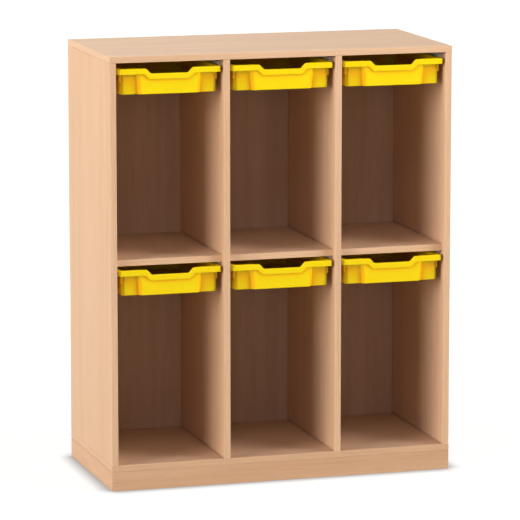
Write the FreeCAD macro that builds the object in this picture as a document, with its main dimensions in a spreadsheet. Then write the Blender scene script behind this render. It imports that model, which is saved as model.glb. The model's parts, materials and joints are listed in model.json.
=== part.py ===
"""School bag shelf: a board cabinet of six open bays, each with a shallow pull-out tray under its ceiling.

Millimetres. +Z is up, the open front faces -Y and +X is to the right for someone who faces the front.
The origin lies on the floor under the middle of the cabinet.
"""

import FreeCAD, Part
import os

import Sketcher

COLUMNS = ("left", "middle", "right")
ROWS = ("lower", "upper")
SIDES = ("left", "right")

# Driving sizes: the name of the cell, its value and what it measures
DRIVING_SIZES = (
    ("opening_width", 323, "clear width of a column"),
    ("cabinet_depth", 500, "front face to back edge"),
    ("board_thickness", 19, "carcass boards"),
    ("plinth_height", 57, "floor to the underside of the bottom panel"),
    ("lower_bay_height", 588, "bottom panel to shelf"),
    ("upper_bay_height", 578, "shelf to top panel"),
    ("shelf_setback", 21, "shelf front behind the cabinet front"),
    ("edging_thickness", 2, "plastic strip on a board's edge"),
    ("edging_radius", 1.5, "rounding along the strip"),
    ("back_thickness", 8, "back panel"),
    ("back_recess", 19, "back panel in front of the rear edges"),
    ("groove_depth", 8, "groove that holds the back panel"),
    ("groove_play", 0.3, "room round the back panel in its groove"),
    ("corner_block", 45, "leg of a corner block inside the plinth"),
    ("corner_block_height", 40, "corner block below the bottom panel"),
    ("tongue_length", 360, "loose tongue in a joint of two boards"),
    ("tongue_thickness", 4, "loose tongue"),
    ("tongue_slot_depth", 8, "slot for a tongue in each of the two boards"),
    ("tongue_play", 0.1, "room on each face of a tongue"),
    ("tongue_end_play", 0.5, "room at each edge and end of a tongue"),
    ("tray_side_room", 5.5, "rim to the wall of its column"),
    ("tray_back_room", 41, "rim to the back panel"),
    ("tray_height", 75, "base to rim top"),
    ("tray_setback", 5, "rim behind the cabinet front"),
    ("upper_tray_gap", 18.5, "rim below the top panel"),
    ("lower_tray_gap", 11, "rim below the shelf"),
    ("tray_wall", 2.2, "moulded wall and base"),
    ("rim_height", 16, "folded rim"),
    ("rim_thickness", 2.5, "top and skirt of the rim"),
    ("rim_corner", 9, "corner radius of the rim"),
    ("rim_chamfer", 1, "broken top edge of the rim"),
    ("body_inset", 10, "rim's inner wall inside the rim's outline"),
    ("body_corner", 10, "corner radius of the tray wall"),
    ("step_width", 2, "tray wall inside the rim's inner wall and inside the stacking steps"),
    ("step_height", 23, "stacking step below the rim"),
    ("step_setback", 3, "stacking step behind the tray wall's front"),
    ("draft_inset", 0.7, "draft of the wall below the rim"),
    ("base_chamfer", 1.2, "broken edge round the base"),
    ("bulge_top_width", 178, "bulged front at the rim"),
    ("bulge_base_width", 166, "bulged front at the base"),
    ("bulge_setback", 3, "bulge behind the rim's front"),
    ("dip_top_width", 140, "grip dip at the rim's top"),
    ("dip_floor_width", 112, "grip dip at its floor"),
    ("dip_depth", 15, "rim top to the dip's floor"),
    ("dip_corner", 9, "rounding of the dip's corners"),
    ("dip_band_spread", 4, "rim band under the dip beyond the dip's edge"),
    ("band_corner", 9, "rounding of that band's lower corners"),
    ("runner_setback", 43, "runner behind the cabinet front"),
    ("runner_web", 3, "runner's web on the wall"),
    ("rim_seat", 7.5, "rim over its ledge"),
    ("ledge_thickness", 4, "runner's ledge"),
    ("ledge_play", 0.2, "rim above its ledge"),
    ("ledge_lead", 2, "chamfer at the ledge's front end"),
    ("lip_overlap", 3.5, "runner's lip over the rim"),
    ("lip_thickness", 3, "runner's lip"),
    ("lip_gap", 7, "lip above the rim"),
    ("stop_play", 0.5, "closed rear end behind the pushed-in rim"),
    ("stop_thickness", 7.5, "closed rear end of the runner"),
    ("rib_thickness", 3.5, "rib on the back of a runner"),
    ("rib_depth", 6, "rib beyond the web"),
    ("rib_play", 0.1, "room on each face of the rib in its slot"),
    ("rib_end_play", 0.5, "room at the edge and ends of the rib"),
)

# Places worked out from the driving sizes, as expressions
BOARD = "Sizes.board_thickness"
PITCH = "(Sizes.board_thickness + Sizes.opening_width)"
WIDTH = f"({len(COLUMNS)} * {PITCH} + {BOARD})"
LEFT = f"(-{WIDTH} / 2)"
RIGHT = f"({WIDTH} / 2)"
FRONT = "(-Sizes.cabinet_depth / 2)"
REAR = "(Sizes.cabinet_depth / 2)"
CORE_FRONT = f"({FRONT} + Sizes.edging_thickness)"
BACK_REAR = f"({REAR} - Sizes.back_recess)"
BACK_FRONT = f"({BACK_REAR} - Sizes.back_thickness)"
FLOOR = f"(Sizes.plinth_height + {BOARD})"
SHELF_UNDER = f"({FLOOR} + Sizes.lower_bay_height)"
SHELF_TOP = f"({SHELF_UNDER} + {BOARD})"
CEILING = f"({SHELF_TOP} + Sizes.upper_bay_height)"
TOP = f"({CEILING} + {BOARD})"
SHELF_FRONT = f"({FRONT} + Sizes.shelf_setback)"
SHELF_CORE_FRONT = f"({SHELF_FRONT} + Sizes.edging_thickness)"
SHELF_MIDDLE = f"({SHELF_UNDER} + {BOARD} / 2)"
TRAY_FRONT = f"({FRONT} + Sizes.tray_setback)"
TRAY_WIDTH = "(Sizes.opening_width - 2 * Sizes.tray_side_room)"
TRAY_LENGTH = f"({BACK_FRONT} - {TRAY_FRONT} - Sizes.tray_back_room)"
TRAY_BASE = {
    "lower": f"({SHELF_UNDER} - Sizes.lower_tray_gap - Sizes.tray_height)",
    "upper": f"({CEILING} - Sizes.upper_tray_gap - Sizes.tray_height)",
}
RIM_UNDER = "(Sizes.tray_height - Sizes.rim_height)"
RUNNER_FRONT = f"({FRONT} + Sizes.runner_setback)"
RUNNER_STOP = f"({TRAY_FRONT} + {TRAY_LENGTH} + Sizes.stop_play)"
RUNNER_REAR = f"({RUNNER_STOP} + Sizes.stop_thickness)"
BOARD_JOINT = f"(({CORE_FRONT} + {BACK_FRONT}) / 2)"
SHELF_JOINT = f"(({SHELF_CORE_FRONT} + {BACK_FRONT}) / 2)"

# The way a sketch on each origin plane faces, along the plane's own axis
PLANE_NORMAL = {"XY_Plane": 1, "XZ_Plane": -1, "YZ_Plane": 1}
NEAR = 0.001

doc = FreeCAD.newDocument("school_bag_shelf")
sheet = doc.addObject("Spreadsheet::Sheet", "Sizes")
for row, (name, value, meaning) in enumerate(DRIVING_SIZES, 1):
    sheet.set(f"A{row}", name)
    sheet.set(f"B{row}", str(value))
    sheet.set(f"C{row}", meaning)
    sheet.setAlias(f"B{row}", name)
doc.recompute()

nodes = []


def measure(expression):
    """The present value of an expression."""
    return float(sheet.evalExpression(str(expression)))


def board_left(number):
    """Left face of an upright board, counted from the left side panel."""
    return f"({LEFT} + {number} * {PITCH})"


def board_right(number):
    return f"({board_left(number)} + {BOARD})"


def board_middle(number):
    return f"({board_left(number)} + {BOARD} / 2)"


def column_middle(column):
    return f"({board_right(COLUMNS.index(column))} + Sizes.opening_width / 2)"


# Modelling steps that the pieces share


def new_body(label, is_node=True):
    body = doc.addObject("PartDesign::Body", label)
    body.Label = label
    if is_node:
        nodes.append(body)
    return body


def new_sketch(body, plane, level):
    """An empty sketch of the body, on a plane parallel to one of its origin planes."""
    sketch = body.newObject("Sketcher::SketchObject", f"{body.Name}_sketch")
    support = next(part for part in body.Origin.OriginFeatures if part.Role == plane)
    sketch.AttachmentSupport = [(support, "")]
    sketch.MapMode = "FlatFace"
    sketch.setExpression("AttachmentOffset.Base.z", f"{PLANE_NORMAL[plane]} * {level}")
    return sketch


def fix(sketch, kind, places, expression):
    """Constrains geometry of a sketch and binds the constraint to an expression."""
    number = sketch.addConstraint(Sketcher.Constraint(kind, *places, measure(expression)))
    sketch.setExpression(f"Constraints[{number}]", expression)


def outline(body, plane, level, *loops):
    """Closed outlines of straight lines, each through corners given as pairs of expressions."""
    sketch = new_sketch(body, plane, level)
    for corners in loops:
        first = sketch.GeometryCount
        points = [FreeCAD.Vector(measure(across), measure(up), 0) for across, up in corners]
        followers = points[1:] + points[:1]
        for point, follower in zip(points, followers):
            sketch.addGeometry(Part.LineSegment(point, follower))
        for number, (across, up) in enumerate(corners):
            line = first + number
            following = first + (number + 1) % len(corners)
            sketch.addConstraint(Sketcher.Constraint("Coincident", line, 2, following, 1))
            fix(sketch, "DistanceX", (-1, 1, line, 1), across)
            fix(sketch, "DistanceY", (-1, 1, line, 1), up)
    return sketch


def rectangle(low, high):
    """Corners of a rectangle between two opposite corners."""
    return [low, (high[0], low[1]), high, (low[0], high[1])]


def extrude(kind, sketch, plane, way, length):
    """Pads or pockets a sketch along its plane's axis, forwards (1) or backwards (-1)."""
    body = sketch.getParentGeoFeatureGroup()
    feature = body.newObject(f"PartDesign::{kind}", f"{body.Name}_{kind.lower()}")
    feature.Profile = sketch
    feature.setExpression("Length", length)
    default_way = PLANE_NORMAL[plane] if kind == "Pad" else -PLANE_NORMAL[plane]
    feature.Reversed = way != default_way
    return feature


def lies_on(edge, **planes):
    """True where an edge lies wholly on the planes given by axis letter and coordinate."""
    box = edge.BoundBox
    for axis, place in planes.items():
        low = getattr(box, f"{axis.upper()}Min")
        high = getattr(box, f"{axis.upper()}Max")
        if abs(low - place) > NEAR or abs(high - place) > NEAR:
            return False
    return True


def dress(kind, feature, size, chosen):
    """Rounds (Fillet) or breaks (Chamfer) the edges of a feature that the test picks out."""
    doc.recompute()
    picked = [f"Edge{number}" for number, edge in enumerate(feature.Shape.Edges, 1) if chosen(edge)]
    body = feature.getParentGeoFeatureGroup()
    dressed = body.newObject(f"PartDesign::{kind}", f"{body.Name}_{kind.lower()}")
    dressed.Base = (feature, picked)
    dressed.setExpression("Radius" if kind == "Fillet" else "Size", size)
    return dressed


def draft(feature, angle, neutral_level, chosen, fills):
    """Leans the faces that the test picks out about a level face; it fills or removes what lies below."""
    doc.recompute()
    faces = list(enumerate(feature.Shape.Faces, 1))
    level = measure(neutral_level)
    neutral = next(number for number, face in faces if lies_on(face, z=level))
    body = feature.getParentGeoFeatureGroup()
    leaning = body.newObject("PartDesign::Draft", f"{body.Name}_draft")
    leaning.Base = (feature, [f"Face{number}" for number, face in faces if chosen(face)])
    leaning.NeutralPlane = (feature, [f"Face{neutral}"])
    leaning.setExpression("Angle", angle)
    leaning.Reversed = not fills
    return leaning


def slab(label, x, y, z, is_node=True):
    """A rectangular board between pairs of places along X, Y and Z."""
    body = new_body(label, is_node)
    plan = outline(body, "XY_Plane", z[0], rectangle((x[0], y[0]), (x[1], y[1])))
    extrude("Pad", plan, "XY_Plane", 1, f"{z[1]} - {z[0]}")
    return body


def slots(body, plane, level, way, plans, depth):
    """Straight slots sunk into a face."""
    extrude("Pocket", outline(body, plane, level, *plans), plane, way, depth)


def group(label, members):
    """One node of several equal pieces that stay separate solids."""
    bundle = doc.addObject("Part::Compound", label)
    bundle.Label = label
    bundle.Links = members
    nodes.append(bundle)


# Carcass boards

GROOVE_REAR = f"({BACK_REAR} + Sizes.groove_play)"
GROOVE_LEFT = f"({board_right(0)} - Sizes.groove_depth)"
GROOVE_RIGHT = f"({board_left(len(COLUMNS))} + Sizes.groove_depth)"
UPRIGHTS = range(len(COLUMNS) + 1)
UPRIGHT_NAMES = ("left_side", "left_divider", "right_divider", "right_side")


def around(middle, half):
    """Low and high place of something centred on a middle."""
    return (f"({middle} - {half})", f"({middle} + {half})")


def tongue_faces(middle, play="0"):
    return around(middle, f"(Sizes.tongue_thickness / 2 + {play})")


def tongue_ends(middle, play="0"):
    return around(middle, f"(Sizes.tongue_length / 2 + {play})")


def upright_slot(number):
    """Plan of the slot for the tongue between an upright and the panel above or below it."""
    x = tongue_faces(board_middle(number), "Sizes.tongue_play")
    y = tongue_ends(BOARD_JOINT, "Sizes.tongue_end_play")
    return rectangle((x[0], y[0]), (x[1], y[1]))


def shelf_slot():
    """Side view of the slot for the tongue between a shelf and an upright."""
    y = tongue_ends(SHELF_JOINT, "Sizes.tongue_end_play")
    z = tongue_faces(SHELF_MIDDLE, "Sizes.tongue_play")
    return rectangle((y[0], z[0]), (y[1], z[1]))


def rib_faces(row, play="0"):
    """Underside and top of a runner's rib, at the middle of the tray's rim."""
    middle = f"({TRAY_BASE[row]} + Sizes.tray_height - Sizes.rim_height / 2)"
    return around(middle, f"(Sizes.rib_thickness / 2 + {play})")


def rib_slot(row):
    """Side view of the slot for a runner's rib."""
    z = rib_faces(row, "Sizes.rib_play")
    front = f"({RUNNER_FRONT} - Sizes.rib_end_play)"
    rear = f"({RUNNER_REAR} + Sizes.rib_end_play)"
    return rectangle((front, z[0]), (rear, z[1]))


def cross_panel(label, low, high, inner, outward):
    """Top or bottom panel, with the back panel's groove and the tongue slots in its inner face."""
    core_left = f"({LEFT} + Sizes.edging_thickness)"
    core_right = f"({RIGHT} - Sizes.edging_thickness)"
    panel = slab(label, (core_left, core_right), (CORE_FRONT, REAR), (low, high))
    groove = rectangle((GROOVE_LEFT, BACK_FRONT), (GROOVE_RIGHT, GROOVE_REAR))
    slots(panel, "XY_Plane", inner, outward, [groove], "Sizes.groove_depth")
    joints = [upright_slot(number) for number in UPRIGHTS]
    slots(panel, "XY_Plane", inner, outward, joints, "Sizes.tongue_slot_depth")


def upright(number):
    """Side panel or divider: tongue slots in both ends, and slots for shelves and runners inside."""
    is_left = number == 0
    is_right = number == UPRIGHTS[-1]
    is_side = is_left or is_right
    label = UPRIGHT_NAMES[number] + ("_panel" if is_side else "")
    faces = (board_left(number), board_right(number))
    board = slab(label, faces, (CORE_FRONT, REAR if is_side else BACK_FRONT), (FLOOR, CEILING))
    for end, way in ((FLOOR, 1), (CEILING, -1)):
        slots(board, "XY_Plane", end, way, [upright_slot(number)], "Sizes.tongue_slot_depth")
    inner_faces = []
    if not is_right:
        inner_faces.append((faces[1], -1))
    if not is_left:
        inner_faces.append((faces[0], 1))
    for face, way in inner_faces:
        if is_side:
            groove = rectangle((BACK_FRONT, FLOOR), (GROOVE_REAR, CEILING))
            slots(board, "YZ_Plane", face, way, [groove], "Sizes.groove_depth")
        slots(board, "YZ_Plane", face, way, [shelf_slot()], "Sizes.tongue_slot_depth")
        ribs = [rib_slot(row) for row in ROWS]
        slots(board, "YZ_Plane", face, way, ribs, "Sizes.rib_depth + Sizes.rib_end_play")


def shelf(column):
    number = COLUMNS.index(column)
    left = board_right(number)
    right = board_left(number + 1)
    board = slab(f"{column}_shelf", (left, right), (SHELF_CORE_FRONT, BACK_FRONT), (SHELF_UNDER, SHELF_TOP))
    for end, way in ((left, 1), (right, -1)):
        slots(board, "YZ_Plane", end, way, [shelf_slot()], "Sizes.tongue_slot_depth")


def back_panel():
    reach = "(Sizes.groove_depth - Sizes.groove_play)"
    x = (f"({board_right(0)} - {reach})", f"({board_left(len(COLUMNS))} + {reach})")
    z = (f"({FLOOR} - {reach})", f"({CEILING} + {reach})")
    slab("back_panel", x, (BACK_FRONT, BACK_REAR), z)


cross_panel("bottom_panel", "Sizes.plinth_height", FLOOR, FLOOR, -1)
cross_panel("top_panel", CEILING, TOP, CEILING, 1)
for number in UPRIGHTS:
    upright(number)
for column in COLUMNS:
    shelf(column)
back_panel()


# Edging strips: the long edges of the outer face are rounded


def edging(label, x, y, z, outer_axis, outer_place, ends_axis):
    strip = slab(label, x, y, z)
    face = {outer_axis: measure(outer_place)}

    def is_long_outer_edge(edge):
        return lies_on(edge, **face) and getattr(edge.BoundBox, f"{ends_axis.upper()}Length") > NEAR

    dress("Fillet", strip.Tip, "Sizes.edging_radius", is_long_outer_edge)


def cross_panel_edging(name, low, high):
    """Strips on the front and on both ends of the top or bottom panel."""
    edging(f"{name}_front_edging", (LEFT, RIGHT), (FRONT, CORE_FRONT), (low, high), "y", FRONT, "x")
    left_strip = (LEFT, f"({LEFT} + Sizes.edging_thickness)")
    right_strip = (f"({RIGHT} - Sizes.edging_thickness)", RIGHT)
    edging(f"{name}_left_edging", left_strip, (CORE_FRONT, REAR), (low, high), "x", LEFT, "y")
    edging(f"{name}_right_edging", right_strip, (CORE_FRONT, REAR), (low, high), "x", RIGHT, "y")


cross_panel_edging("bottom", "Sizes.plinth_height", FLOOR)
cross_panel_edging("top", CEILING, TOP)
for number in UPRIGHTS:
    faces = (board_left(number), board_right(number))
    edging(f"{UPRIGHT_NAMES[number]}_edging", faces, (FRONT, CORE_FRONT), (FLOOR, CEILING), "y", FRONT, "z")
for number, column in enumerate(COLUMNS):
    span = (board_right(number), board_left(number + 1))
    levels = (SHELF_UNDER, SHELF_TOP)
    edging(f"{column}_shelf_edging", span, (SHELF_FRONT, SHELF_CORE_FRONT), levels, "y", SHELF_FRONT, "x")


# Plinth: four rails mitred at the corners, a cross rail between them and a glued block in each corner

PLINTH_LEFT = f"({LEFT} + {BOARD})"
PLINTH_RIGHT = f"({RIGHT} - {BOARD})"
PLINTH_FRONT = f"({FRONT} + {BOARD})"
PLINTH_REAR = f"({REAR} - {BOARD})"


def plinth_piece(label, plan, low, high, is_node=True):
    piece = new_body(label, is_node)
    extrude("Pad", outline(piece, "XY_Plane", low, plan), "XY_Plane", 1, f"{high} - {low}")
    return piece


def plinth():
    outer = rectangle((LEFT, FRONT), (RIGHT, REAR))
    inner = rectangle((PLINTH_LEFT, PLINTH_FRONT), (PLINTH_RIGHT, PLINTH_REAR))
    rails = ("front", "right", "rear", "left")
    for number, name in enumerate(rails):
        following = (number + 1) % len(rails)
        plan = [outer[number], outer[following], inner[following], inner[number]]
        plinth_piece(f"plinth_{name}_rail", plan, "0", "Sizes.plinth_height")
    cross = rectangle((f"(-{BOARD} / 2)", PLINTH_FRONT), (f"({BOARD} / 2)", PLINTH_REAR))
    plinth_piece("plinth_cross_rail", cross, "0", "Sizes.plinth_height")
    blocks = []
    block_low = "(Sizes.plinth_height - Sizes.corner_block_height)"
    inward = ((1, 1), (-1, 1), (-1, -1), (1, -1))
    for number, ((x, y), (toward_x, toward_y)) in enumerate(zip(inner, inward), 1):
        plan = [
            (x, y),
            (f"({x} + {toward_x} * Sizes.corner_block)", y),
            (x, f"({y} + {toward_y} * Sizes.corner_block)"),
        ]
        blocks.append(plinth_piece(f"corner_block_{number}", plan, block_low, "Sizes.plinth_height", False))
    group("plinth_corner_blocks", blocks)


plinth()


# Loose tongues: flat strips glued half into each of the two boards of a joint

TONGUE_REACH = "(Sizes.tongue_slot_depth - Sizes.tongue_end_play)"


def carcass_tongues():
    y = tongue_ends(BOARD_JOINT)
    strips = []
    for number in UPRIGHTS:
        x = tongue_faces(board_middle(number))
        for level in (FLOOR, CEILING):
            strips.append(slab("carcass_tongue", x, y, around(level, TONGUE_REACH), is_node=False))
    group("carcass_tongues", strips)


def shelf_tongues():
    y = tongue_ends(SHELF_JOINT)
    z = tongue_faces(SHELF_MIDDLE)
    strips = []
    for number in range(len(COLUMNS)):
        for end in (board_right(number), board_left(number + 1)):
            strips.append(slab("shelf_tongue", around(end, TONGUE_REACH), y, z, is_node=False))
    group("shelf_tongues", strips)


carcass_tongues()
shelf_tongues()


# Runners: a channel on each wall with a rib pressed into it, a ledge under the tray's rim, a lip over the
# rim and a closed rear end


def runner(row, column, side):
    number = COLUMNS.index(column)
    body = new_body(f"{row}_{column}_tray_{side}_runner")
    wall = board_right(number) if side == "left" else board_left(number + 1)
    inward = 1 if side == "left" else -1
    ledge = f"({TRAY_BASE[row]} + {RIM_UNDER} - Sizes.ledge_play)"
    ledge_low = f"({ledge} - Sizes.ledge_thickness)"
    lip = f"({TRAY_BASE[row]} + Sizes.tray_height + Sizes.lip_gap)"
    lip_top = f"({lip} + Sizes.lip_thickness)"

    def from_wall(distance):
        return f"({wall} + {inward} * {distance})"

    web_face = from_wall("Sizes.runner_web")
    ledge_edge = from_wall("(Sizes.tray_side_room + Sizes.rim_seat)")
    lip_edge = from_wall("(Sizes.tray_side_room + Sizes.lip_overlap)")
    rib_edge = from_wall("(-Sizes.rib_depth)")
    rib_low, rib_high = rib_faces(row)
    section = [
        (wall, ledge_low),
        (ledge_edge, ledge_low),
        (ledge_edge, ledge),
        (web_face, ledge),
        (web_face, lip),
        (lip_edge, lip),
        (lip_edge, lip_top),
        (wall, lip_top),
        (wall, rib_high),
        (rib_edge, rib_high),
        (rib_edge, rib_low),
        (wall, rib_low),
    ]
    channel = outline(body, "XZ_Plane", RUNNER_FRONT, section)
    channel = extrude("Pad", channel, "XZ_Plane", 1, f"{RUNNER_REAR} - {RUNNER_FRONT}")
    lead = {"y": measure(RUNNER_FRONT), "z": measure(ledge)}
    dress("Chamfer", channel, "Sizes.ledge_lead", lambda edge: lies_on(edge, **lead))
    stop_section = outline(body, "XZ_Plane", RUNNER_STOP, rectangle((web_face, ledge), (lip_edge, lip)))
    extrude("Pad", stop_section, "XZ_Plane", 1, "Sizes.stop_thickness")


# Trays, each in its own frame: X across, Y from the rim's front to its back, Z up from the base

TRAY_HALF = f"({TRAY_WIDTH} / 2)"
SHOULDER = f"({RIM_UNDER} + Sizes.tray_wall)"
DRAFT_ANGLE = f"atan(Sizes.draft_inset / {RIM_UNDER})"
WALL_INSET = "(Sizes.body_inset + Sizes.step_width)"
BASE_INSET = f"({WALL_INSET} + Sizes.draft_inset)"
RIM_ROOM_INSET = "(Sizes.body_inset + Sizes.tray_wall)"
ROOM_INSET = f"({WALL_INSET} + Sizes.tray_wall)"
BASE_ROOM_INSET = f"({BASE_INSET} + Sizes.tray_wall)"
STEP_LEVEL = f"({RIM_UNDER} - Sizes.step_height)"
STEP_FRONT = f"({WALL_INSET} + Sizes.step_setback)"
BULGE_FLANK = f"({ROOM_INSET} - Sizes.bulge_setback)"
DIP_TOP_HALF = "(Sizes.dip_top_width / 2)"
DIP_FLOOR_HALF = "(Sizes.dip_floor_width / 2)"
DIP_FLOOR = "(Sizes.tray_height - Sizes.dip_depth)"
BAND_TOP_HALF = f"({DIP_TOP_HALF} + Sizes.dip_band_spread)"
BAND_FLOOR_HALF = f"({DIP_FLOOR_HALF} + Sizes.dip_band_spread)"
BAND_LOW = f"({DIP_FLOOR} - Sizes.rim_height)"

# Slope of the chord from the end of a rounded corner to the corner's middle
CORNER_CHORD = "tan(22.5 deg)"


def tray_rectangle(inset):
    """Corners of the tray's outline, moved inwards from the rim."""
    x = f"({TRAY_HALF} - {inset})"
    return rectangle((f"(-{x})", inset), (x, f"({TRAY_LENGTH} - {inset})"))


def bulge_front(spread, low):
    """Front view of the bulge, wider towards the rim; spread moves both its sides outwards."""
    base_half = f"(Sizes.bulge_base_width / 2 + {spread})"
    top_half = f"(Sizes.bulge_top_width / 2 + {spread})"
    return [
        (f"(-{base_half})", low),
        (base_half, low),
        (top_half, "Sizes.tray_height"),
        (f"(-{top_half})", "Sizes.tray_height"),
    ]


def is_tray_wall(face, inset):
    """True for the four upright faces of a tray outline moved inwards by an inset."""
    x = measure(f"{TRAY_HALF} - {inset}")
    front = measure(inset)
    rear = measure(f"{TRAY_LENGTH} - {inset}")
    return lies_on(face, x=x) or lies_on(face, x=-x) or lies_on(face, y=front) or lies_on(face, y=rear)


def is_corner_post(edge, inset):
    """True for the upright edges of a tray outline moved inwards by an inset."""
    x = measure(f"{TRAY_HALF} - {inset}")
    for y in (measure(inset), measure(f"{TRAY_LENGTH} - {inset}")):
        if lies_on(edge, x=x, y=y) or lies_on(edge, x=-x, y=y):
            return True
    return False


def is_drafted_post(edge, lower_inset, upper_inset):
    """True for the leaning edges between two tray outlines."""
    box = edge.BoundBox
    wide = measure(f"{TRAY_HALF} - {upper_inset}")
    narrow = measure(f"{TRAY_HALF} - {lower_inset}")
    outermost = max(abs(box.XMin), abs(box.XMax))
    innermost = min(abs(box.XMin), abs(box.XMax))
    leans = abs(outermost - wide) < NEAR and abs(innermost - narrow) < NEAR
    return leans and box.XLength < wide and box.ZLength > NEAR


def is_rim_edge(edge):
    """True for the outer edges of the rim's top."""
    if not lies_on(edge, z=measure("Sizes.tray_height")):
        return False
    box = edge.BoundBox
    across = max(abs(box.XMin), abs(box.XMax)) - measure(TRAY_HALF)
    along = box.YMax - measure(TRAY_LENGTH)
    return abs(across) < NEAR or abs(along) < NEAR or abs(box.YMin) < NEAR


def tray_shell(body):
    """The outer form: drafted wall, bulged front and the block of the rim."""
    base = outline(body, "XY_Plane", "0", tray_rectangle(WALL_INSET))
    wall = extrude("Pad", base, "XY_Plane", 1, RIM_UNDER)
    draft(wall, DRAFT_ANGLE, RIM_UNDER, lambda face: is_tray_wall(face, WALL_INSET), fills=False)
    bulge = outline(body, "XZ_Plane", "Sizes.bulge_setback", bulge_front(BULGE_FLANK, "0"))
    bulge = extrude("Pad", bulge, "XZ_Plane", 1, f"{BASE_ROOM_INSET} - Sizes.bulge_setback")
    front = measure("Sizes.bulge_setback")

    def is_bulge_side(edge):
        return lies_on(edge, y=front) and edge.BoundBox.ZLength > NEAR

    dress("Chamfer", bulge, BULGE_FLANK, is_bulge_side)
    rim = outline(body, "XY_Plane", RIM_UNDER, tray_rectangle("0"))
    extrude("Pad", rim, "XY_Plane", 1, "Sizes.rim_height")


def rim_channel(body):
    """Hollows the rim from below, all round except behind the bulged front."""
    skirt = "Sizes.rim_thickness"
    outer = tray_rectangle(skirt)
    inner = tray_rectangle("Sizes.body_inset")
    end = f"(Sizes.bulge_top_width / 2 + {BULGE_FLANK} + Sizes.tray_wall)"
    plan = [
        (end, skirt),
        *outer[1:],
        outer[0],
        (f"(-{end})", skirt),
        (f"(-{end})", "Sizes.body_inset"),
        inner[0],
        *reversed(inner[1:]),
        (end, "Sizes.body_inset"),
    ]
    channel = outline(body, "XY_Plane", RIM_UNDER, plan)
    extrude("Pocket", channel, "XY_Plane", 1, "Sizes.rim_height - Sizes.rim_thickness")


def grip_dip(body):
    """Lowers the middle of the front and leads the rim's band along under the dip."""
    band_section = [
        (f"(-{BAND_FLOOR_HALF})", BAND_LOW),
        (BAND_FLOOR_HALF, BAND_LOW),
        (BAND_TOP_HALF, RIM_UNDER),
        (f"(-{BAND_TOP_HALF})", RIM_UNDER),
    ]
    band = outline(body, "XZ_Plane", "0", band_section)
    extrude("Pad", band, "XZ_Plane", 1, "Sizes.bulge_setback + Sizes.tray_wall")
    above = "(Sizes.tray_height + Sizes.rim_height)"
    dip_section = [
        (f"(-{DIP_FLOOR_HALF})", DIP_FLOOR),
        (DIP_FLOOR_HALF, DIP_FLOOR),
        (DIP_TOP_HALF, "Sizes.tray_height"),
        (DIP_TOP_HALF, above),
        (f"(-{DIP_TOP_HALF})", above),
        (f"(-{DIP_TOP_HALF})", "Sizes.tray_height"),
    ]
    extrude("Pocket", outline(body, "XZ_Plane", "0", dip_section), "XZ_Plane", 1, "Sizes.body_inset")


def tray_hollow(body):
    """The room inside, a wall's thickness from the outer form."""
    upper = outline(body, "XY_Plane", SHOULDER, tray_rectangle(RIM_ROOM_INSET))
    extrude("Pocket", upper, "XY_Plane", 1, f"Sizes.tray_height - {SHOULDER}")
    lower = outline(body, "XY_Plane", "Sizes.tray_wall", tray_rectangle(ROOM_INSET))
    room = extrude("Pocket", lower, "XY_Plane", 1, f"{SHOULDER} - Sizes.tray_wall")
    draft(room, DRAFT_ANGLE, SHOULDER, lambda face: is_tray_wall(face, ROOM_INSET), fills=True)
    bulge_section = bulge_front("(-Sizes.tray_wall / 2)", "Sizes.tray_wall")
    bulge = outline(body, "XZ_Plane", "(Sizes.bulge_setback + Sizes.tray_wall)", bulge_section)
    extrude("Pocket", bulge, "XZ_Plane", 1, f"{BASE_INSET} - Sizes.bulge_setback")


def tray_rounding(body):
    """Rounds the upright corners, inside and lower ones first, then the corners of the grip."""
    inner_corner = "Sizes.body_corner - Sizes.tray_wall"
    skirt_corner = "Sizes.rim_corner - Sizes.rim_thickness"

    def is_grip_corner(edge, *corners):
        """True for the edges from front to back at half widths and levels, on both sides."""
        for half, level in corners:
            x, z = measure(half), measure(level)
            if lies_on(edge, x=x, z=z) or lies_on(edge, x=-x, z=z):
                return True
        return False

    dip_corners = ((DIP_TOP_HALF, "Sizes.tray_height"), (DIP_FLOOR_HALF, DIP_FLOOR))
    band_corners = ((BAND_TOP_HALF, RIM_UNDER), (BAND_FLOOR_HALF, BAND_LOW))
    steps = (
        (inner_corner, lambda edge: is_drafted_post(edge, BASE_ROOM_INSET, ROOM_INSET)),
        (inner_corner, lambda edge: is_corner_post(edge, RIM_ROOM_INSET)),
        (skirt_corner, lambda edge: is_corner_post(edge, "Sizes.rim_thickness")),
        ("Sizes.body_corner", lambda edge: is_drafted_post(edge, BASE_INSET, WALL_INSET)),
        ("Sizes.body_corner", lambda edge: is_corner_post(edge, "Sizes.body_inset")),
        ("Sizes.rim_corner", lambda edge: is_corner_post(edge, "0")),
        ("Sizes.dip_corner", lambda edge: is_grip_corner(edge, *dip_corners)),
        ("Sizes.band_corner", lambda edge: is_grip_corner(edge, *band_corners)),
    )
    for radius, chosen in steps:
        dress("Fillet", body.Tip, radius, chosen)
    dress("Chamfer", body.Tip, "Sizes.base_chamfer", lambda edge: lies_on(edge, z=0))
    dress("Chamfer", body.Tip, "Sizes.rim_chamfer", is_rim_edge)


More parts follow.
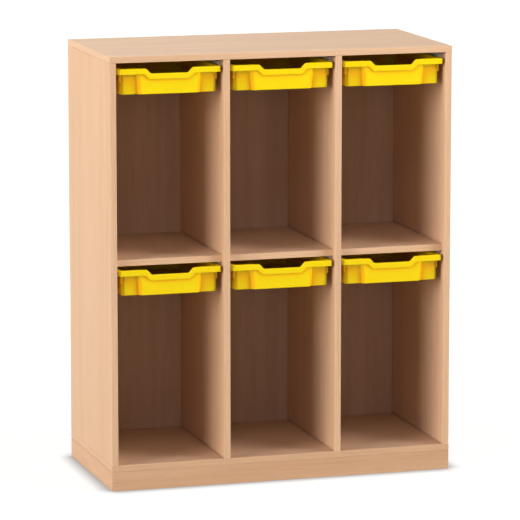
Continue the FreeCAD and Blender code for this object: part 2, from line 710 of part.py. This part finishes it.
def stacking_steps(body):
    """A step on each side wall that holds stacked trays apart, hollow from the inside."""
    outer = f"({TRAY_HALF} - Sizes.body_inset)"
    mid_wall = f"({TRAY_HALF} - {WALL_INSET} - Sizes.tray_wall / 2)"
    corner_end = f"({WALL_INSET} + Sizes.body_corner)"
    mid_corner = f"({mid_wall} - {CORNER_CHORD} * (Sizes.body_corner - Sizes.step_setback))"
    front_half = ((mid_wall, corner_end), (mid_corner, STEP_FRONT), (outer, STEP_FRONT))
    rear_half = [(x, f"({TRAY_LENGTH} - {y})") for x, y in reversed(front_half)]
    right_plan = [*front_half, *rear_half]
    left_plan = [(f"(-{x})", y) for x, y in right_plan]
    steps = outline(body, "XY_Plane", STEP_LEVEL, right_plan, left_plan)
    extrude("Pad", steps, "XY_Plane", 1, f"{RIM_UNDER} - {STEP_LEVEL}")
    room_outer = f"({outer} - Sizes.tray_wall)"
    room_front = f"({STEP_FRONT} + Sizes.tray_wall)"
    room_plan = rectangle((f"(-{room_outer})", room_front), (room_outer, f"({TRAY_LENGTH} - {room_front})"))
    room_level = f"({STEP_LEVEL} + Sizes.tray_wall)"
    room = outline(body, "XY_Plane", room_level, room_plan)
    extrude("Pocket", room, "XY_Plane", 1, f"Sizes.tray_height - {room_level}")


def tray(row, column):
    body = new_body(f"{row}_{column}_tray")
    tray_shell(body)
    rim_channel(body)
    grip_dip(body)
    tray_hollow(body)
    tray_rounding(body)
    stacking_steps(body)
    body.setExpression("Placement.Base.x", column_middle(column))
    body.setExpression("Placement.Base.y", TRAY_FRONT)
    body.setExpression("Placement.Base.z", TRAY_BASE[row])


for row in ROWS:
    for column in COLUMNS:
        tray(row, column)
        for side in SIDES:
            runner(row, column, side)

doc.recompute()

faulty = [part.Label for part in doc.Objects if {"Invalid", "Error"} & set(part.State)]
if faulty:
    raise RuntimeError(f"these objects failed to build: {faulty}")
for node in nodes:
    if node.Shape.isNull() or not node.Shape.isValid():
        raise RuntimeError(f"{node.Label} has no valid shape")

os.makedirs("parts", exist_ok=True)
for node in nodes:
    node.Shape.exportStep(f"parts/{node.Label}.step")
print(f"{len(nodes)} nodes written")
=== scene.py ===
"""Looks of the school bag shelf: beech print, plastic edging, yellow trays, grey runners, white studio."""

import json
import math
from functools import cache
from typing import NamedTuple

import bpy
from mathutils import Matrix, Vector


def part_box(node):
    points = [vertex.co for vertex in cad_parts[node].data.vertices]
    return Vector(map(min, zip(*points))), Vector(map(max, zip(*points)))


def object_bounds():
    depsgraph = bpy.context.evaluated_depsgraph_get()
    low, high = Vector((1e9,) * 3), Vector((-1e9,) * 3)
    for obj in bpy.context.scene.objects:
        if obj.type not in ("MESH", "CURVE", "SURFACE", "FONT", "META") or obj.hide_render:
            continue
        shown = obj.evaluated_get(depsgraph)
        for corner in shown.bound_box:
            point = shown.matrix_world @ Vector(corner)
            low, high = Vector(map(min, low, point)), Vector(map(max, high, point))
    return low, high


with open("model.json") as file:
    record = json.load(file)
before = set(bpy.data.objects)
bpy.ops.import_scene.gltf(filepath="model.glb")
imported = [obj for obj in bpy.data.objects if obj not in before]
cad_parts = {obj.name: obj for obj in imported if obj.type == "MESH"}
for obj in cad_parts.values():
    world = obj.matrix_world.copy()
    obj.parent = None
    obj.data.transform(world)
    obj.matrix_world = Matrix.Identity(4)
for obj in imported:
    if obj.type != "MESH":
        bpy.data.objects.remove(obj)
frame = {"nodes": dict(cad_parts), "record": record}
cad_low, cad_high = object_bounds()
scene = bpy.context.scene


class Wood(NamedTuple):
    """A wood: its pale and deep streaks, its roughness and the share of colour left by the shade painted
    into corners where pieces meet.
    """

    pale: tuple
    deep: tuple
    roughness: float
    painted_corner_shade: float = 1.0


class Plastic(NamedTuple):
    """A plastic: its colour, a deeper colour painted into its hollows as shade and also used for its
    cloudiness, its roughness and its reflection.
    """

    shade: tuple
    deep: tuple
    roughness: float
    shine: float


class Pattern(NamedTuple):
    """Noise: cells per metre along and across the grain, detail, and the values that it changes between."""

    along: float
    across: float
    detail: int
    low: float = 0.0
    high: float = 1.0
    roughness: float = 0.5


class Sun(NamedTuple):
    """A sun lamp: the direction that it comes from, its strength, its colour and its width in degrees."""

    name: str
    came_from: Vector
    strength: float
    tint: tuple
    width: float


class Softbox(NamedTuple):
    """A round lamp that looks at the middle of the cabinet."""

    name: str
    place: Vector
    diameter: float
    power: float


def colour(red, green, blue):
    """A display colour of 0 to 255 as the linear value that a shader takes, by the sRGB formula."""
    def linear(value):
        share = value / 255
        return share / 12.92 if share <= 0.04045 else ((share + 0.055) / 1.055) ** 2.4

    return (linear(red), linear(green), linear(blue), 1)


# Camera, worked out from the corners of the cabinet in the photograph: metres and degrees
CAMERA_PLACE = Vector((-3.0913, -10.2226, 2.4446))
CAMERA_TURN_RIGHT = 16.851
CAMERA_TILT_DOWN = 9.683
CAMERA_LENS = 249.19

# Lamps: two low lights from the sides, a weak one from the front, and softboxes above and behind
SUNS = (
    Sun("left_light", Vector((-0.93, -0.30, 0.15)), 3.55, (1, 0.93, 0.83), 37),
    Sun("right_light", Vector((0.90, -0.38, 0.10)), 3.18, (1, 0.97, 0.93), 30),
    Sun("front_light", Vector((-0.25, -0.96, 0.12)), 0.17, (0.95, 0.97, 1), 20),
)
SOFTBOXES = (
    Softbox("upper_left_box", Vector((-2.2, -0.6, 3.0)), 1.5, 18),
    Softbox("upper_right_box", Vector((2.5, -2.0, 3.0)), 1.5, 40),
    Softbox("high_front_box", Vector((-0.3, -2.6, 3.8)), 1.5, 15),
    Softbox("upper_rear_box", Vector((0.0, 1.8, 3.0)), 2.0, 13),
    Softbox("rear_box", Vector((0.5, 3.5, 0.8)), 0.9, 60),
)
SOFTBOX_TINT = (1, 0.98, 0.95)
SKY_STRENGTH = 0.06
SKY_TINT = (0.66, 0.84, 1, 1)
SKY_WHITE = (1, 1, 1, 1)

# Floor: half its size, how much light it throws back, and the white of its own that the camera sees,
# fainter near the cabinet so that the shadow there shows
FLOOR_HALF = 40
FLOOR_BOUNCE = 0.22
NEAR_WHITE = 0.86
NEAR_RADIUS = 0.9
FAR_RADIUS = 2.6

# Soft shadow on the floor along the base: how far it reaches, how open the floor is right at the base,
# and the share of white left there
SHADOW_REACH = 0.052
SHADOW_OPENNESS = 0.5
SHADOW_WHITE = 0.3
SHADOW_SAMPLES = 16

# Edge rounding of the boards and of the mouldings, the angle from which an edge is rounded in degrees,
# and how close two corners of a mesh lie to count as one
BOARD_ROUNDING = 0.0004
MOULDING_ROUNDING = 0.0007
ROUNDING_SEGMENTS = 2
ROUNDED_ANGLE = 28
JOIN_DISTANCE = 0.00001

# Woods. The boards that face into the bays show the board print darker and greyer, as painted shade; the
# plinth and the edging above it have tones of their own
WOODS = {
    "beech_board": Wood(colour(229, 189, 152), colour(223, 182, 145), roughness=0.46),
    # Darker, greyer copy of the board print: painted shade for the boards inside the bays
    "beech_inner": Wood(colour(217, 181, 153), colour(210, 173, 145), roughness=0.46, painted_corner_shade=0.7),
    "beech_back": Wood(colour(200, 166, 143), colour(190, 155, 131), roughness=0.50),
    "beech_plinth": Wood(colour(229, 185, 149), colour(216, 170, 133), roughness=0.46),
    "beech_edging": Wood(colour(239, 199, 163), colour(229, 186, 149), roughness=0.40),
    "beech_base": Wood(colour(231, 189, 153), colour(220, 176, 139), roughness=0.40),
    "raw_wood": Wood(colour(214, 180, 136), colour(188, 148, 102), roughness=0.75),
}

# Boards that the photograph shows from outside, which keep the board print without painted shade, and boards
# whose print runs upright
OUTER_BOARDS = ("left_side_panel", "top_panel")
UPRIGHT_GRAIN = ("left_side_panel", "right_side_panel", "left_divider", "right_divider", "back_panel")

# Reflection of the woods, where 0.5 is a common plastic
WOOD_SHINE = 0.28

# Patterns of a wood, and how strongly each of them shows
STREAKS = Pattern(0.7, 16, 3, 0.36, 0.66, roughness=0.55)
FIBRES = Pattern(9, 330, 2, 0.35, 0.65)
FLECKS = Pattern(95, 800, 1, 0.62, 0.70)
WOOD_GLOSS = Pattern(5, 120, 2, 0.3, 0.7)
PORES = Pattern(40, 1500, 2)
FIBRE_SHADE = 0.92
FLECK_SHADE = 0.62
FLECK_SHARE = 0.24
WOOD_GLOSS_CHANGE = (-0.04, 0.05)
PORE_DEPTH = 0.00004
PORE_STRENGTH = 0.5

# Shade painted into the corners where boards meet: how far it reaches, and how open a corner and a free face
# are
PAINTED_CORNER_SHADE_REACH = 0.011
CORNER_OPENNESS = 0.5
FREE_OPENNESS = 0.95

# Plastics of the trays and of the runners
PLASTICS = {
    # The second colour of each plastic is painted into its hollows as shade, and also gives its clouds
    "yellow_plastic": Plastic(colour(255, 228, 8), colour(255, 172, 4), roughness=0.34, shine=0.32),
    "grey_plastic": Plastic(colour(196, 194, 188), colour(178, 176, 171), roughness=0.5, shine=0.5),
}

# Patterns of a plastic, which are the same along every axis, and how strongly each of them shows
CLOUDS = Pattern(9, 9, 3, 0.3, 0.75)
PLASTIC_GLOSS = Pattern(60, 60, 3, 0.3, 0.7)
SKIN = Pattern(1900, 1900, 1)
CLOUD_SHARE = 0.16
PLASTIC_GLOSS_CHANGE = (-0.05, 0.07)
SKIN_DEPTH = 0.00003
SKIN_STRENGTH = 0.35

# Painted shade in the hollows of a moulding: how far off they count, and pairs of openness and the share of
# the deeper colour painted there
PAINTED_HOLLOW_SHADE_REACH = 0.05
PAINTED_HOLLOW_SHADE_SHARES = ((0.6, 0.1), (0.93, 0.8), (0.993, 0.0))
OPENNESS_SAMPLES = 24

# Farthest that a pattern is moved from piece to piece, so that no two pieces look alike
PIECE_SHIFT = (7.3, 5.1, 9.7)

# Numbers of the sockets that carry colours in a mix node
FIRST_COLOUR = 6
SECOND_COLOUR = 7
MIXED_COLOUR = 2


class Nodes:
    """A node tree, with short ways to add nodes to it."""

    def __init__(self, tree):
        self.tree = tree

    def node(self, kind, **settings):
        """Adds a node with some of its settings."""
        made = self.tree.nodes.new(kind)
        for name, value in settings.items():
            setattr(made, name, value)
        return made

    def feed(self, socket, value):
        """Links an output to a socket, or sets the socket to a plain value."""
        if isinstance(value, bpy.types.NodeSocket):
            self.tree.links.new(value, socket)
        else:
            socket.default_value = value

    def maths(self, operation, first, second):
        """A number worked out from two others."""
        made = self.node("ShaderNodeMath", operation=operation)
        self.feed(made.inputs[0], first)
        self.feed(made.inputs[1], second)
        return made.outputs[0]

    def vectors(self, operation, first, second):
        """A vector worked out from two others."""
        made = self.node("ShaderNodeVectorMath", operation=operation)
        self.feed(made.inputs[0], first)
        self.feed(made.inputs[1], second)
        return made.outputs[0]

    def change(self, value, low, high, at_low, at_high):
        """A number that goes from at_low to at_high while the given value goes from low to high."""
        made = self.node("ShaderNodeMapRange")
        self.feed(made.inputs["Value"], value)
        made.inputs["From Min"].default_value = low
        made.inputs["From Max"].default_value = high
        made.inputs["To Min"].default_value = at_low
        made.inputs["To Max"].default_value = at_high
        return made.outputs["Result"]

    def openness(self, reach, alone, samples):
        """1 on open faces, less in hollows of the piece alone, or in corners with other pieces too."""
        made = self.node("ShaderNodeAmbientOcclusion", only_local=alone, samples=samples)
        made.inputs["Distance"].default_value = reach
        return made.outputs["AO"]

    def seen_directly(self):
        """1 for rays from the camera, from a reflection or through a clear material, else 0."""
        path = self.node("ShaderNodeLightPath")
        value = path.outputs["Is Camera Ray"]
        for kind in ("Is Glossy Ray", "Is Transmission Ray"):
            value = self.maths("MAXIMUM", value, path.outputs[kind])
        return value


class Surface(Nodes):
    """A material with a principled shader, and patterns for it."""

    def __init__(self, name, shine):
        self.material = bpy.data.materials.new(name)
        self.material.use_nodes = True
        super().__init__(self.material.node_tree)
        self.shader = self.tree.nodes["Principled BSDF"]
        self.shader.inputs["Specular IOR Level"].default_value = shine

    def noise(self, pattern, axis=None):
        """A pattern's noise from 0 to 1, along a grain's axis if there is one, moved from piece to piece."""
        coordinates = self.node("ShaderNodeTexCoord")
        piece = self.node("ShaderNodeObjectInfo")
        shift = self.node("ShaderNodeVectorMath", operation="SCALE")
        shift.inputs[0].default_value = PIECE_SHIFT
        self.feed(shift.inputs["Scale"], piece.outputs["Random"])
        moved = self.vectors("ADD", coordinates.outputs["Object"], shift.outputs[0])
        cells = tuple(pattern.along if letter == axis else pattern.across for letter in "XYZ")
        made = self.node("ShaderNodeTexNoise")
        self.feed(made.inputs["Vector"], self.vectors("MULTIPLY", moved, cells))
        made.inputs["Scale"].default_value = 1
        made.inputs["Detail"].default_value = pattern.detail
        made.inputs["Roughness"].default_value = pattern.roughness
        return made.outputs["Fac"]

    def ramp(self, value, *stops):
        """Colours or greys at places between 0 and 1."""
        made = self.node("ShaderNodeValToRGB")
        self.feed(made.inputs["Fac"], value)
        elements = made.color_ramp.elements
        while len(elements) < len(stops):
            elements.new(0.5)
        for element, (place, shade) in zip(elements, stops):
            element.position = place
            element.color = shade if isinstance(shade, tuple) else (shade, shade, shade, 1)
        return made.outputs["Color"]

    def shades(self, pattern, first, second, axis=None):
        """A pattern that changes from a first to a second colour or grey."""
        return self.ramp(self.noise(pattern, axis), (pattern.low, first), (pattern.high, second))

    def mix(self, share, first, second, blend="MIX"):
        """Two colours in one, with a share of the second."""
        made = self.node("ShaderNodeMix", data_type="RGBA", blend_type=blend)
        self.feed(made.inputs["Factor"], share)
        self.feed(made.inputs[FIRST_COLOUR], first)
        self.feed(made.inputs[SECOND_COLOUR], second)
        return made.outputs[MIXED_COLOUR]

    def complete(self, base, gloss, height, depth, strength):
        """Gives the shader its colour, its gloss and a fine relief, and returns the material."""
        self.feed(self.shader.inputs["Base Color"], base)
        self.feed(self.shader.inputs["Roughness"], gloss)
        bump = self.node("ShaderNodeBump")
        bump.inputs["Strength"].default_value = strength
        bump.inputs["Distance"].default_value = depth
        self.feed(bump.inputs["Height"], height)
        self.feed(self.shader.inputs["Normal"], bump.outputs["Normal"])
        return self.material


@cache
def wood_material(kind, axis):
    """Wood: streaks along the grain, fine fibres, short dark flecks, and shade painted into corners where
    pieces meet.
    """
    wood = WOODS[kind]
    surface = Surface(f"{kind}_{axis}", WOOD_SHINE)
    streaks = surface.shades(STREAKS, wood.pale, wood.deep, axis)
    fibres = surface.shades(FIBRES, FIBRE_SHADE, 1.0, axis)
    fibred = surface.mix(1.0, streaks, fibres, "MULTIPLY")
    flecks = surface.shades(FLECKS, 0.0, FLECK_SHARE, axis)
    red, green, blue = (value * FLECK_SHADE for value in wood.deep[:3])
    base = surface.mix(flecks, fibred, (red, green, blue, 1))
    # Painted shade: the colour darkens in corners where this board meets others
    if wood.painted_corner_shade < 1:
        openness = surface.openness(PAINTED_CORNER_SHADE_REACH, alone=False, samples=OPENNESS_SAMPLES)
        painted_corners = surface.ramp(openness, (CORNER_OPENNESS, wood.painted_corner_shade), (FREE_OPENNESS, 1.0))
        base = surface.mix(1.0, base, painted_corners, "MULTIPLY")
    smoothest, roughest = (wood.roughness + change for change in WOOD_GLOSS_CHANGE)
    gloss = surface.shades(WOOD_GLOSS, smoothest, roughest, axis)
    return surface.complete(base, gloss, surface.noise(PORES, axis), PORE_DEPTH, PORE_STRENGTH)


@cache
def plastic_material(kind):
    """Moulded plastic: a fine grained skin, a deeper colour painted into hollows as shade, and a little
    cloudiness.
    """
    plastic = PLASTICS[kind]
    surface = Surface(kind, plastic.shine)
    # Painted shade: the deeper colour is mixed in where the moulding is hollow
    openness = surface.openness(PAINTED_HOLLOW_SHADE_REACH, alone=True, samples=OPENNESS_SAMPLES)
    hollows = surface.ramp(openness, *PAINTED_HOLLOW_SHADE_SHARES)
    clouds = surface.shades(CLOUDS, 0.0, CLOUD_SHARE)
    shade_painted_in_hollows = surface.mix(hollows, plastic.shade, plastic.deep)
    base = surface.mix(clouds, shade_painted_in_hollows, plastic.deep)
    smoothest, roughest = (plastic.roughness + change for change in PLASTIC_GLOSS_CHANGE)
    gloss = surface.shades(PLASTIC_GLOSS, smoothest, roughest)
    return surface.complete(base, gloss, surface.noise(SKIN), SKIN_DEPTH, SKIN_STRENGTH)


def grain_axis(node):
    """The axis that a board's print runs along: its height for uprights, else its longest side."""
    if node in UPRIGHT_GRAIN:
        return "Z"
    low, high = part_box(node)
    sides = high - low
    return "XYZ"[max(range(3), key=lambda number: sides[number])]


def wood_kind(node, slot):
    """The wood that a piece shows: that of its slot, a tone of its own, or for boards facing into the bays
    the board print with painted shade.
    """
    if slot == "beech_board" and node.startswith("plinth_"):
        return "beech_plinth"
    # Boards seen inside the bays get the darker copy of the print: painted shade
    if slot == "beech_board" and node not in OUTER_BOARDS:
        return "beech_inner"
    if slot == "beech_edging" and node.startswith("bottom_"):
        return "beech_base"
    return slot


def round_edges(piece, width):
    """Joins the faces of a piece and rounds its sharp edges a little."""
    weld = piece.modifiers.new("join_faces", "WELD")
    weld.merge_threshold = JOIN_DISTANCE
    bevel = piece.modifiers.new("round_edges", "BEVEL")
    bevel.width = width
    bevel.segments = ROUNDING_SEGMENTS
    bevel.limit_method = "ANGLE"
    bevel.angle_limit = math.radians(ROUNDED_ANGLE)
    bevel.use_clamp_overlap = True
    normals = piece.modifiers.new("even_normals", "WEIGHTED_NORMAL")
    normals.keep_sharp = False


def dress_pieces():
    """Gives every piece its material and its rounded edges."""
    for entry in frame["record"]["subparts"]:
        node, slot = entry["node"], entry["material_slot"]
        piece = frame["nodes"][node]
        piece.data.materials.clear()
        if slot in PLASTICS:
            piece.data.materials.append(plastic_material(slot))
            round_edges(piece, MOULDING_ROUNDING)
        else:
            piece.data.materials.append(wood_material(wood_kind(node, slot), grain_axis(node)))
            round_edges(piece, BOARD_ROUNDING)


def floor_material():
    """A matt floor that keeps the shadow, and shows the camera a white of its own."""
    material = bpy.data.materials.new("white_floor")
    material.use_nodes = True
    nodes = Nodes(material.node_tree)
    nodes.tree.nodes.clear()
    paint = nodes.node("ShaderNodeBsdfDiffuse")
    paint.inputs["Color"].default_value = (FLOOR_BOUNCE, FLOOR_BOUNCE, FLOOR_BOUNCE, 1)
    place = nodes.node("ShaderNodeNewGeometry")
    distance = nodes.node("ShaderNodeVectorMath", operation="LENGTH")
    nodes.feed(distance.inputs[0], place.outputs["Position"])
    white = nodes.change(distance.outputs["Value"], NEAR_RADIUS, FAR_RADIUS, NEAR_WHITE, 1)
    seen = nodes.maths("MULTIPLY", white, nodes.seen_directly())
    openness = nodes.openness(SHADOW_REACH, alone=False, samples=SHADOW_SAMPLES)
    shade = nodes.change(openness, SHADOW_OPENNESS, 1, SHADOW_WHITE, 1)
    glow = nodes.node("ShaderNodeEmission")
    nodes.feed(glow.inputs["Strength"], nodes.maths("MULTIPLY", seen, shade))
    both = nodes.node("ShaderNodeAddShader")
    nodes.feed(both.inputs[0], paint.outputs["BSDF"])
    nodes.feed(both.inputs[1], glow.outputs["Emission"])
    output = nodes.node("ShaderNodeOutputMaterial")
    nodes.feed(output.inputs["Surface"], both.outputs["Shader"])
    return material


def make_floor():
    """A wide level floor under the cabinet."""
    mesh = bpy.data.meshes.new("floor")
    corners = [(x * FLOOR_HALF, y * FLOOR_HALF, cad_low.z) for x, y in ((-1, -1), (1, -1), (1, 1), (-1, 1))]
    mesh.from_pydata(corners, [], [(0, 1, 2, 3)])
    mesh.materials.append(floor_material())
    floor = bpy.data.objects.new("floor", mesh)
    scene.collection.objects.link(floor)


def make_sky():
    """A faint blue sky that looks white to the camera and in reflections."""
    world = bpy.data.worlds.new("sky")
    scene.world = world
    world.use_nodes = True
    nodes = Nodes(world.node_tree)
    faint = nodes.tree.nodes["Background"]
    faint.inputs["Color"].default_value = SKY_TINT
    faint.inputs["Strength"].default_value = SKY_STRENGTH
    white = nodes.node("ShaderNodeBackground")
    white.inputs["Color"].default_value = SKY_WHITE
    either = nodes.node("ShaderNodeMixShader")
    nodes.feed(either.inputs["Fac"], nodes.seen_directly())
    nodes.feed(either.inputs[1], faint.outputs["Background"])
    nodes.feed(either.inputs[2], white.outputs["Background"])
    nodes.feed(nodes.tree.nodes["World Output"].inputs["Surface"], either.outputs["Shader"])


def place_lamp(lamp, place, toward):
    """Puts a lamp into the scene so that it shines from a place towards a point, and returns it."""
    placed = bpy.data.objects.new(lamp.name, lamp)
    placed.location = place
    placed.rotation_euler = (place - toward).to_track_quat("Z", "Y").to_euler()
    scene.collection.objects.link(placed)
    return placed


def make_lamps():
    """The sun lamps, which no reflection shows, and the softboxes."""
    middle = (cad_low + cad_high) / 2
    for sun in SUNS:
        lamp = bpy.data.lights.new(sun.name, "SUN")
        lamp.energy = sun.strength
        lamp.color = sun.tint
        lamp.angle = math.radians(sun.width)
        placed = place_lamp(lamp, middle + sun.came_from, middle)
        placed.visible_glossy = False
    for softbox in SOFTBOXES:
        lamp = bpy.data.lights.new(softbox.name, "AREA")
        lamp.shape = "DISK"
        lamp.size = softbox.diameter
        lamp.energy = softbox.power
        lamp.color = SOFTBOX_TINT
        place_lamp(lamp, softbox.place, middle)


def make_camera():
    """The camera of the photograph."""
    camera = bpy.data.cameras.new("camera")
    camera.lens = CAMERA_LENS
    placed = bpy.data.objects.new("camera", camera)
    placed.location = CAMERA_PLACE
    placed.rotation_euler = (math.radians(90 - CAMERA_TILT_DOWN), 0, math.radians(-CAMERA_TURN_RIGHT))
    scene.collection.objects.link(placed)
    scene.camera = placed


dress_pieces()
make_floor()
make_sky()
make_lamps()
make_camera()
scene.view_settings.view_transform = "Standard"
